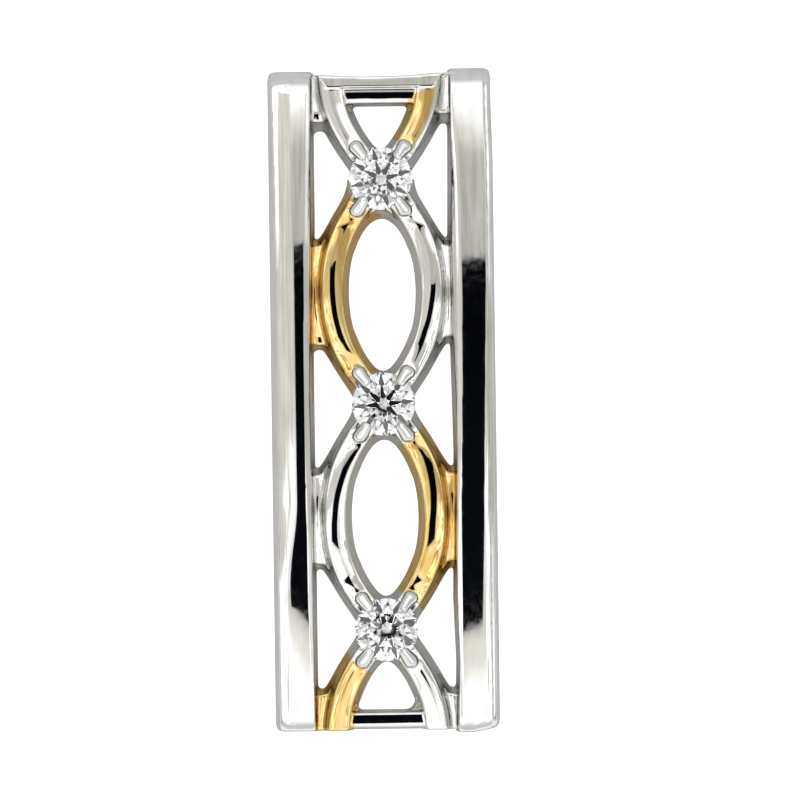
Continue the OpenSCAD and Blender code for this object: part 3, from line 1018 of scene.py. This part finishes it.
def new_group(name, inputs, outputs):
    """A shader node group with those input and output sockets."""
    group = bpy.data.node_groups.new(name, "ShaderNodeTree")
    for label, kind, default in inputs:
        socket = group.interface.new_socket(label, in_out="INPUT", socket_type=kind)
        socket.default_value = default
    for label, kind in outputs:
        group.interface.new_socket(label, in_out="OUTPUT", socket_type=kind)
    return group, group.nodes.new("NodeGroupInput"), group.nodes.new("NodeGroupOutput")


# Scales of the slow waves, of the wiping marks and of the painted darker streaks that stand in for uneven
# reflections, which run along the pendant
WAVE_SCALE = 900
MARK_SCALE = 4000
PAINTED_STREAK_SCALE = (2200, 600, 2200)
# Where the haze of the wiping marks starts and ends in their noise, and how it changes the polish
HAZE_SPAN = (0.35, 0.75)
HAZE_CHANGE = (0.6, 1.6)
# Where the painted darker streaks start and are deepest in their noise
PAINTED_STREAK_SPAN = (0.42, 0.62)


def polish_and_painted_streaks_group():
    """Slow waves and fine wiping marks of hand polishing with the haze that goes with them, and painted
    darker streaks in the colour that stand in for uneven reflections.
    """
    name = "Polish and painted streaks"
    if name in bpy.data.node_groups:
        return bpy.data.node_groups[name]
    group, given, out = new_group(
        name,
        [("Metal", "NodeSocketColor", (0.8, 0.8, 0.8, 1)),
         ("Streaks", "NodeSocketColor", (0.9, 0.9, 0.9, 1)),
         ("Polish", "NodeSocketFloat", 0.03),
         ("Waviness", "NodeSocketFloat", 0.001)],
        [("Colour", "NodeSocketColor"), ("Roughness", "NodeSocketFloat"), ("Normal", "NodeSocketVector")])
    nodes, links = group.nodes, group.links
    place = nodes.new("ShaderNodeTexCoord").outputs["Object"]
    waves = noise_node(nodes, links, place, WAVE_SCALE, 1)
    links.new(bump_node(nodes, links, waves, given.outputs["Waviness"]), out.inputs["Normal"])
    marks = noise_node(nodes, links, place, MARK_SCALE, 4)
    haze = step_node(nodes, links, marks, HAZE_SPAN, *HAZE_CHANGE, kind="LINEAR")
    rough = math_node(nodes, links, "MULTIPLY", haze, given.outputs["Polish"])
    links.new(rough, out.inputs["Roughness"])
    # Painted reflection: darker streaks along the pendant multiplied into the metal colour, standing in
    # for uneven reflections
    along = nodes.new("ShaderNodeVectorMath")
    along.operation = "MULTIPLY"
    along.inputs[1].default_value = PAINTED_STREAK_SCALE
    links.new(place, along.inputs[0])
    streaks = noise_node(nodes, links, along.outputs["Vector"], 1, 2)
    depth = step_node(nodes, links, streaks, PAINTED_STREAK_SPAN, 0, 1, kind="LINEAR")
    colour = mix_node(nodes, links, depth, given.outputs["Metal"], given.outputs["Streaks"],
                      kind="RGBA", blend="MULTIPLY")
    links.new(colour, out.inputs["Colour"])
    return group


def polished_metal(name, kind, waves, polish):
    """A metal of that kind, white or yellow, with polishing waves of that depth and that roughness."""
    if name in bpy.data.materials:
        return bpy.data.materials[name]
    finish = settings().finish
    material = bpy.data.materials.new(name)
    material.use_nodes = True
    nodes, links = material.node_tree.nodes, material.node_tree.links
    shader = nodes["Principled BSDF"]
    shader.inputs["Metallic"].default_value = 1
    shader.inputs["Specular Tint"].default_value = (*getattr(finish, kind + "_edge"), 1)
    worked = nodes.new("ShaderNodeGroup")
    worked.node_tree = polish_and_painted_streaks_group()
    worked.inputs["Metal"].default_value = (*getattr(finish, kind), 1)
    # Painted reflection: the darker colour of the painted streaks
    worked.inputs["Streaks"].default_value = (*getattr(finish, kind + "_painted_streaks"), 1)
    worked.inputs["Polish"].default_value = polish
    worked.inputs["Waviness"].default_value = waves
    # Painted shade: where metal is seen mirrored in metal, its colour is swapped for a darker copy, so
    # narrow places come out darker and richer
    seen = nodes.new("ShaderNodeLightPath")
    again = (*getattr(finish, kind + "_painted_shade"), 1)
    colour = mix_node(nodes, links, seen.outputs["Is Glossy Ray"], worked.outputs["Colour"], again,
                      kind="RGBA")
    links.new(colour, shader.inputs["Base Color"])
    links.new(worked.outputs["Roughness"], shader.inputs["Roughness"])
    links.new(worked.outputs["Normal"], shader.inputs["Normal"])
    return material


# The stones' refraction, the scale of their specks, and the scale and depth of their facets' waves
STONE_IOR = 2.42
SPECK_SCALE = 3000
FACET_WAVE_SCALE = 2300
FACET_WAVE_DEPTH = 0.000004


def clear_stone():
    """Cut stone: clear, bright and hard, with faint specks inside."""
    name = "Clear stone"
    if name in bpy.data.materials:
        return bpy.data.materials[name]
    material = bpy.data.materials.new(name)
    material.use_nodes = True
    nodes, links = material.node_tree.nodes, material.node_tree.links
    shader = nodes["Principled BSDF"]
    shader.inputs["Transmission Weight"].default_value = 1
    shader.inputs["IOR"].default_value = STONE_IOR
    shader.inputs["Roughness"].default_value = 0
    place = nodes.new("ShaderNodeTexCoord").outputs["Object"]
    shade = nodes.new("ShaderNodeMapRange")
    shade.data_type = "FLOAT_VECTOR"
    shade.inputs["From Min"].default_value = (0.3, 0.3, 0.3)
    shade.inputs["From Max"].default_value = (0.7, 0.7, 0.7)
    shade.inputs["To Min"].default_value = (0.96, 0.98, 1.0)
    shade.inputs["To Max"].default_value = (1.0, 1.0, 1.0)
    links.new(noise_node(nodes, links, place, SPECK_SCALE, 2), shade.inputs["Vector"])
    links.new(shade.outputs["Vector"], shader.inputs["Base Color"])
    waves = noise_node(nodes, links, place, FACET_WAVE_SCALE, 0)
    links.new(bump_node(nodes, links, waves, FACET_WAVE_DEPTH), shader.inputs["Normal"])
    return material


def stretch(low, high, fine, coarse, end):
    """Stations from low to high: fine within end of both ends and coarse between."""
    ends = np.arange(0, end, fine)
    middle = np.linspace(low + end, high - end, int(round((high - low - 2 * end) / coarse)) + 1)
    return np.concatenate([low + ends, middle, (high - ends)[::-1]])


# Room that the grids leave at the metal's ends, and how far a point may move in a round of settling
MARGIN = 0.1
SETTLE_REACH = 0.03
# The bars' grids: the distances from the long axis that they cover, the heights of their coarse
# low and high part, their steps across and up, and along at the ends and between them
BAR_ACROSS = (2.3, 4.2)
BAR_LOW = (-0.1, 1.3)
BAR_HIGH = (1.32, 2.45)
BAR_STEP = 0.034
BAR_LOW_STEP = 0.09
BAR_END_STEP = 0.045
BAR_LONG_STEP = 0.14
BAR_END_LENGTH = 1.6


class PENDANT_OT_bars(Operator):
    """Builds the two polished side bars"""
    bl_idname = "pendant.bars"
    bl_label = "Side bars"

    def execute(self, context):
        finish = settings().finish
        white = polished_metal("White gold bars", "white", finish.bar_waves, finish.polish)
        across_x = np.arange(*BAR_ACROSS, BAR_STEP)
        along_y = stretch(-HALF_L - MARGIN, HALF_L + MARGIN, BAR_END_STEP, BAR_LONG_STEP, BAR_END_LENGTH)
        up_z = np.concatenate([np.arange(*BAR_LOW, BAR_LOW_STEP), np.arange(*BAR_HIGH, BAR_STEP)])
        for side, name in ((-1, "bar_left"), (1, "bar_right")):
            def field(x, y, z):
                return bar_field(side, x, y, z)
            stations = across_x if side > 0 else -across_x[::-1]
            points, quads = skin(field, stations, along_y, up_z)
            points = settle(field, points, SETTLE_REACH)
            normals = unit_normals(field, points)
            piece = add_piece(name, points, quads.tolist(), normals, white)
            if side < 0:
                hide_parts("frame")
        return {"FINISHED"}


# How far out from the claws' own surface they are cut off from the rest of the metal
CLAW_CUT = 0.03
# Where each yellow stretch stops beside the stones, from the top: distances from the stones' axes
YELLOW_FROM_TOP = 1.5
YELLOW_UPPER = (1.24, 1.2)
YELLOW_LOWER = (1.6, 1.45)
YELLOW_FROM_BOTTOM = 1.65
# How far the yellow reaches across the crest: inwards and outwards in the top stretch, and inwards
# in the bottom one
YELLOW_TOP_ACROSS = (0.62, 0.24)
YELLOW_BOTTOM_ACROSS = 0.56
# The slanting end of the top stretch under the rim: how far below the bars' ends it is at a
# distance from the long axis, and its slope
YELLOW_END = 0.72
YELLOW_END_OUT = 1.8
YELLOW_END_SLOPE = 0.3


def off_claws(x, y, z):
    """Above zero where the metal isn't a claw."""
    along, up = head_parts(y, z)
    return claw_field(x, along, up) - CLAW_CUT


def yellow_measure(x, y, z):
    """Above zero where the ribbons are yellow."""
    aside = across(x, y, -1)
    top, middle, bottom = (np.hypot(x, y - crossing) for crossing in CROSS_Y)
    end = HALF_L - YELLOW_END + YELLOW_END_SLOPE * (x - YELLOW_END_OUT) - y
    top_right = np.minimum.reduce([top - YELLOW_FROM_TOP, x, YELLOW_TOP_ACROSS[1] - aside,
                                   aside + YELLOW_TOP_ACROSS[0], end])
    top_right = np.where(y > CROSS_Y[0], top_right, -1.0)
    upper_left = np.minimum.reduce([top - YELLOW_UPPER[0], middle - YELLOW_UPPER[1], -x])
    upper_left = np.where((y < CROSS_Y[0]) & (y > CROSS_Y[1]), upper_left, -1.0)
    lower_right = np.minimum.reduce([middle - YELLOW_LOWER[0], bottom - YELLOW_LOWER[1], x])
    lower_right = np.where((y < CROSS_Y[1]) & (y > CROSS_Y[2]), lower_right, -1.0)
    bottom_left = np.minimum.reduce([bottom - YELLOW_FROM_BOTTOM, -x, YELLOW_BOTTOM_ACROSS - aside])
    bottom_left = np.where(y < CROSS_Y[2], bottom_left, -1.0)
    golden = np.maximum.reduce([top_right, upper_left, lower_right, bottom_left])
    return np.minimum(golden, off_claws(x, y, z))


# Clearance at which the lattice is cut off along the bars
BAR_CLEARANCE = 0.002


def off_bars(x, y, z):
    """Above zero where the metal isn't inside a side bar."""
    return both_bars(x, y, z) - BAR_CLEARANCE


# The lattice's grid: what it covers across and up, and its step
LATTICE_ACROSS = (-2.8, 2.81)
LATTICE_UP = (0.1, 2.9)
LATTICE_STEP = 0.05
# The yellow stretches from the top, as the CAD nodes that they stand for
YELLOW_NODES = ("ribbon_top_right", "ribbon_upper_left", "ribbon_lower_right", "ribbon_bottom_left")


class PENDANT_OT_ribbons(Operator):
    """Builds the crossing ribbons, their webs, the rim, the crossbars, the cups and the claws"""
    bl_idname = "pendant.ribbons"
    bl_label = "Ribbons and heads"

    def execute(self, context):
        finish = settings().finish
        waves = finish.ribbon_waves
        white = polished_metal("White gold ribbons", "white", waves, finish.polish)
        yellow = polished_metal("Yellow gold ribbons", "yellow", waves, finish.polish)
        filed = polished_metal("White gold claws", "white", waves, finish.claw_polish)
        across_x = np.arange(*LATTICE_ACROSS, LATTICE_STEP)
        along_y = np.arange(-HALF_L - MARGIN, HALF_L + MARGIN + 0.01, LATTICE_STEP)
        up_z = np.arange(*LATTICE_UP, LATTICE_STEP)
        points, quads = skin(lattice_field, across_x, along_y, up_z)
        points = settle(lattice_field, points, SETTLE_REACH)
        points, outside, _ = cut_faces(points, quads.tolist(), off_bars)
        points, golden, silver = cut_faces(points, outside, yellow_measure)
        points, silver, beads = cut_faces(points, silver, off_claws)
        normals = unit_normals(lattice_field, points)
        add_piece("claws", points, beads, normals, filed)
        halves = ([], [])
        for face in silver:
            halves[int(points[face[0]][1] < CROSS_Y[1])].append(face)
        for name, faces in zip(("ribbons_white_upper", "ribbons_white_lower"), halves):
            add_piece(name, points, faces, normals, white)
        stretches = {node: [] for node in YELLOW_NODES}
        for face in golden:
            number = sum(points[face[0]][1] < crossing for crossing in CROSS_Y)
            stretches[YELLOW_NODES[number]].append(face)
        for node, faces in stretches.items():
            name = node.replace("ribbon", "yellow")
            piece = add_piece(name, points, faces, normals, yellow)
            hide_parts(node)
        return {"FINISHED"}


class PENDANT_OT_stones(Operator):
    """Gives the cut stones their clear finish"""
    bl_idname = "pendant.stones"
    bl_label = "Stones"

    def execute(self, context):
        material = clear_stone()
        for node in STONES:
            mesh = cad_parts[node].data
            mesh.materials.clear()
            mesh.materials.append(material)
        return {"FINISHED"}


# Least height of a direction in the light tent, so that level ones have a place in it too
LOWEST_UP = 0.02
# Places in the tent are in degrees from straight up, to the right and towards the top end, and
# each pair is where a soft step starts and where it ends. Places farther aside count as the last
MOST_ASIDE = 45.0
# The dark opening: its middle, its edge on all four sides, the light left in it, and its tint
OPENING_RIGHT = 0.6
OPENING_TOP = -1.0
OPENING_EDGE = (5.24, 5.36)
OPENING_DARK = 0.004
OPENING_TINT = (0.6, 0.8, 1.3, 1)
# The grey part: its start and end towards the top end, how much lower it starts for each degree
# aside, and the changes of its end aside
GREY_START = (-1.6, 1.8)
GREY_END = (7.2, 8.8)
GREY_SAG = 0.11
GREY_FIRST_ASIDE = (5.0, 10.0)
GREY_FIRST_CHANGE = -1.2
GREY_SECOND_ASIDE = (22.0, 28.0)
GREY_SECOND_CHANGE = 4.8
GREY_TINT = (1.0, 0.97, 0.895, 1)
# Its unevenness: the scale of the noise, and the span of it that counts
MOTTLE_SCALE = 26
MOTTLE_SPAN = (0.3, 0.7)
# The folds: their scales aside and along, the span of their noise, and where they start and end
FOLDS_ASIDE_SCALE = 0.085
FOLDS_ALONG_SCALE = 0.2
FOLDS_SPAN = (0.38, 0.62)
FOLDS_START = (7.5, 10.5)
FOLDS_END = (24.0, 28.0)
# The tent gets darker towards the pendant's ends, by the part of a direction that points there:
# where, and the light left in it
ENDS_START = (0.35, 0.8)
ENDS_LIGHT = 0.6
# The shade round the opening: its left side, the foot of its level band, its edge above and below
# that band, and the light left in it
SHADE_LEFT = (-7.4, -5.4)
SHADE_BAND = -0.3
SHADE_EDGE = (6.8, 7.8)
SHADE_LIGHT = 0.76
# The warmer shade under the opening: its upper edge, its sides, its lower edge and its depth
UNDER_TOP = (-5.6, -5.0)
UNDER_SIDE = (6.5, 8.0)
UNDER_LOW = (-7.2, -6.4)
UNDER_DEPTH = 0.2
# The dark that the stones gather: its middle, the softness of its edge and its depth
GATHERED_RIGHT = 3.0
GATHERED_TOP = 5.0
GATHERED_EDGE = 3
GATHERED_DEPTH = 0.97
# The room and the gap below the tent, by the parts of a direction that point up and to the ends
ROOM_SPAN = (-0.5, 0.5)
ROOM_CHANGE = 0.6
GAP_LOW = (0.38, 0.48)
GAP_HIGH = (0.62, 0.74)
GAP_ENDS = (0.3, 0.6)


def light_tent(studio):
    """The tent round the pendant, with the dark opening that the camera looks through."""
    world = bpy.data.worlds.new("Light tent")
    bpy.context.scene.world = world
    world.use_nodes = True
    nodes, links = world.node_tree.nodes, world.node_tree.links
    nodes.clear()

    def calc(operation, *values):
        return math_node(nodes, links, operation, *values)

    def step(value, span, low, high):
        return step_node(nodes, links, value, span, low, high)

    def product(*values):
        result = values[0]
        for value in values[1:]:
            result = calc("MULTIPLY", result, value)
        return result

    def tinted(factor, low, high):
        return mix_node(nodes, links, factor, low, high, kind="RGBA")

    place = nodes.new("ShaderNodeTexCoord").outputs["Generated"]
    split = nodes.new("ShaderNodeSeparateXYZ")
    links.new(place, split.inputs[0])
    x, y, z = split.outputs
    up = calc("MAXIMUM", z, LOWEST_UP)
    per_degree = 180 / math.pi
    right = calc("MULTIPLY", calc("DIVIDE", x, up), per_degree)
    top = calc("MULTIPLY", calc("DIVIDE", y, up), per_degree)
    # The tent is white below, greyer in its upper part, and white again above that
    aside = calc("MINIMUM", calc("ABSOLUTE", right), MOST_ASIDE)
    start_top = calc("ADD", top, calc("MULTIPLY", aside, GREY_SAG))
    first_change = step(aside, GREY_FIRST_ASIDE, 0.0, GREY_FIRST_CHANGE)
    second_change = step(aside, GREY_SECOND_ASIDE, 0.0, GREY_SECOND_CHANGE)
    end_top = calc("ADD", top, calc("ADD", first_change, second_change))
    greyness = product(step(start_top, GREY_START, 0.0, 1.0), step(end_top, GREY_END, 1.0, 0.0))
    tent = step(greyness, (0.0, 1.0), studio.tent, studio.grey)
    mottle = noise_node(nodes, links, place, MOTTLE_SCALE, 2)
    uneven = step(mottle, MOTTLE_SPAN, -studio.mottle, studio.mottle)
    tent = product(tent, calc("MULTIPLY_ADD", uneven, greyness, 1.0))
    # Folds of the cloth make the white part uneven on both sides of the opening
    spread = nodes.new("ShaderNodeCombineXYZ")
    links.new(calc("MULTIPLY", right, FOLDS_ASIDE_SCALE), spread.inputs["X"])
    links.new(calc("MULTIPLY", top, FOLDS_ALONG_SCALE), spread.inputs["Y"])
    cloth = noise_node(nodes, links, spread.outputs["Vector"], 2, 1)
    fold = step(cloth, FOLDS_SPAN, studio.fold_low, studio.fold_high)
    beside = product(step(aside, FOLDS_START, 0.0, 1.0), step(aside, FOLDS_END, 1.0, 0.0),
                     calc("SUBTRACT", 1.0, greyness))
    change = product(beside, calc("SUBTRACT", fold, 1.0))
    tent = product(tent, calc("ADD", change, 1.0))
    to_ends = calc("ABSOLUTE", y)
    tent = product(tent, step(to_ends, ENDS_START, 1.0, ENDS_LIGHT))
    # The opening, and the shade that falls on the tent round it and to the right of it
    side = calc("ABSOLUTE", calc("SUBTRACT", right, OPENING_RIGHT))
    height = calc("ABSOLUTE", calc("SUBTRACT", top, OPENING_TOP))
    inside = product(step(side, OPENING_EDGE, 1.0, 0.0), step(height, OPENING_EDGE, 1.0, 0.0))
    off_band = calc("MAXIMUM", top, calc("SUBTRACT", SHADE_BAND, top))
    shade = product(step(right, SHADE_LEFT, 0.0, 1.0), step(off_band, SHADE_EDGE, 1.0, 0.0))
    tent = product(tent, step(shade, (0.0, 1.0), 1.0, SHADE_LIGHT))
    # Under the opening the shade is warmer, and deepest beside the opening
    under = product(shade, product(step(top, UNDER_TOP, 1.0, 0.0), step(side, UNDER_SIDE, 1.0, 0.0)))
    deepest = step(top, UNDER_LOW, 0.0, UNDER_DEPTH)
    tent = product(tent, calc("SUBTRACT", 1.0, product(under, deepest)))
    tent = product(tent, step(inside, (0.0, 1.0), 1.0, OPENING_DARK))
    # What the stones gather from round the opening is darker still
    seen = nodes.new("ShaderNodeLightPath")
    through = calc("GREATER_THAN", seen.outputs["Transmission Depth"], 0.5)
    from_right = calc("POWER", calc("SUBTRACT", right, GATHERED_RIGHT), 2.0)
    from_top = calc("POWER", calc("SUBTRACT", top, GATHERED_TOP), 2.0)
    round_opening = calc("SQRT", calc("ADD", from_right, from_top))
    gathered = (studio.stone_dark, studio.stone_dark + GATHERED_EDGE)
    dark = step(round_opening, gathered, GATHERED_DEPTH, 0.0)
    tent = product(tent, calc("SUBTRACT", 1.0, product(dark, through)))
    # A darker gap separates the tent from the room round it
    room = step(y, ROOM_SPAN, studio.horizon, studio.horizon * ROOM_CHANGE)
    gap = step(to_ends, GAP_ENDS, studio.gap, studio.end_gap)
    below = mix_node(nodes, links, step(z, GAP_LOW, 0.0, 1.0), room, gap)
    light = mix_node(nodes, links, step(z, GAP_HIGH, 0.0, 1.0), below, tent)
    tint = tinted(calc("MAXIMUM", greyness, under), (1, 1, 1, 1), GREY_TINT)
    back = nodes.new("ShaderNodeBackground")
    links.new(tinted(inside, tint, OPENING_TINT), back.inputs["Color"])
    links.new(light, back.inputs["Strength"])
    out = nodes.new("ShaderNodeOutputWorld")
    links.new(back.outputs["Background"], out.inputs["Surface"])


def pale_floor():
    """The pale floor, lit from below where the camera sees it, as on a light table."""
    material = bpy.data.materials.new("Light table")
    material.use_nodes = True
    nodes, links = material.node_tree.nodes, material.node_tree.links
    shader = nodes["Principled BSDF"]
    shader.inputs["Base Color"].default_value = (0.62, 0.62, 0.62, 1)
    shader.inputs["Roughness"].default_value = 0.9
    shader.inputs["Specular IOR Level"].default_value = 0.1
    shader.inputs["Emission Color"].default_value = (1, 1, 1, 1)
    glow = 0.9
    seen = nodes.new("ShaderNodeLightPath")
    lit = math_node(nodes, links, "MULTIPLY", seen.outputs["Is Camera Ray"], glow)
    links.new(lit, shader.inputs["Emission Strength"])
    reach = 0.4
    corners = [(-reach, -reach, 0), (reach, -reach, 0), (reach, reach, 0), (-reach, reach, 0)]
    mesh = bpy.data.meshes.new("light_table")
    mesh.from_pydata(corners, [], [(0, 1, 2, 3)])
    mesh.materials.append(material)
    floor = bpy.data.objects.new("light_table", mesh)
    bpy.context.scene.collection.objects.link(floor)


# The photograph: its width and height in pixels, its scale and the pixel that shows the middle
PHOTO_PIXELS = 800
PIXELS_PER_MM = 27.72
MIDDLE_PIXEL = (383.6, 401.3)
# Height at which that scale holds, in millimetres
SCALE_HEIGHT = 2.0


def look_down(studio):
    """The camera above the pendant, with the photograph's scale and turn."""
    camera = bpy.data.cameras.new("camera")
    camera.sensor_width = 36
    camera.sensor_fit = "HORIZONTAL"
    distance = studio.camera_height - SCALE_HEIGHT * MM
    camera.lens = camera.sensor_width * distance / (PHOTO_PIXELS / PIXELS_PER_MM * MM)
    camera.clip_start = 0.01
    camera.clip_end = 10
    right = (PHOTO_PIXELS / 2 - MIDDLE_PIXEL[0]) / PIXELS_PER_MM
    up = (MIDDLE_PIXEL[1] - PHOTO_PIXELS / 2) / PIXELS_PER_MM
    turn = studio.roll
    x = right * math.cos(turn) + up * math.sin(turn)
    y = up * math.cos(turn) - right * math.sin(turn)
    place = bpy.data.objects.new("camera", camera)
    spot = Matrix.Translation((x * MM, y * MM, studio.camera_height))
    place.matrix_world = spot @ Matrix.Rotation(-turn, 4, "Z")
    bpy.context.scene.collection.objects.link(place)
    bpy.context.scene.camera = place


class PENDANT_OT_stage(Operator):
    """Builds the light tent, the pale floor and the camera"""
    bl_idname = "pendant.stage"
    bl_label = "Stage"

    def execute(self, context):
        studio = settings().studio
        light_tent(studio)
        pale_floor()
        look_down(studio)
        context.scene.view_settings.view_transform = "Standard"
        return {"FINISHED"}


class PENDANT_PT_panel(Panel):
    """Lists the operators and the settings"""
    bl_label = "Rectangle pendant"
    bl_idname = "PENDANT_PT_panel"
    bl_space_type = "VIEW_3D"
    bl_region_type = "UI"
    bl_category = "Pendant"

    def draw(self, context):
        layout = self.layout
        for operator in OPERATORS:
            layout.operator(operator.bl_idname)
        for group in ("bars", "ribbons", "heads", "finish", "studio"):
            box = layout.box()
            box.label(text=group.capitalize())
            sizes = getattr(context.scene.pendant, group)
            for key in sizes.__annotations__:
                box.prop(sizes, key)


OPERATORS = (PENDANT_OT_bars, PENDANT_OT_ribbons, PENDANT_OT_stones, PENDANT_OT_stage)
GROUPS = (BarSizes, RibbonSizes, HeadSizes, Finish, Studio, PendantSettings)
CLASSES = GROUPS + OPERATORS + (PENDANT_PT_panel,)


def register():
    for cls in CLASSES:
        bpy.utils.register_class(cls)
    bpy.types.Scene.pendant = PointerProperty(type=PendantSettings)


def unregister():
    del bpy.types.Scene.pendant
    for cls in reversed(CLASSES):
        bpy.utils.unregister_class(cls)


def main():
    """Registers the add-on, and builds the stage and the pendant."""
    register()
    bpy.ops.pendant.stage()
    bpy.ops.pendant.bars()
    bpy.ops.pendant.ribbons()
    bpy.ops.pendant.stones()


if __name__ == "__main__":
    main()
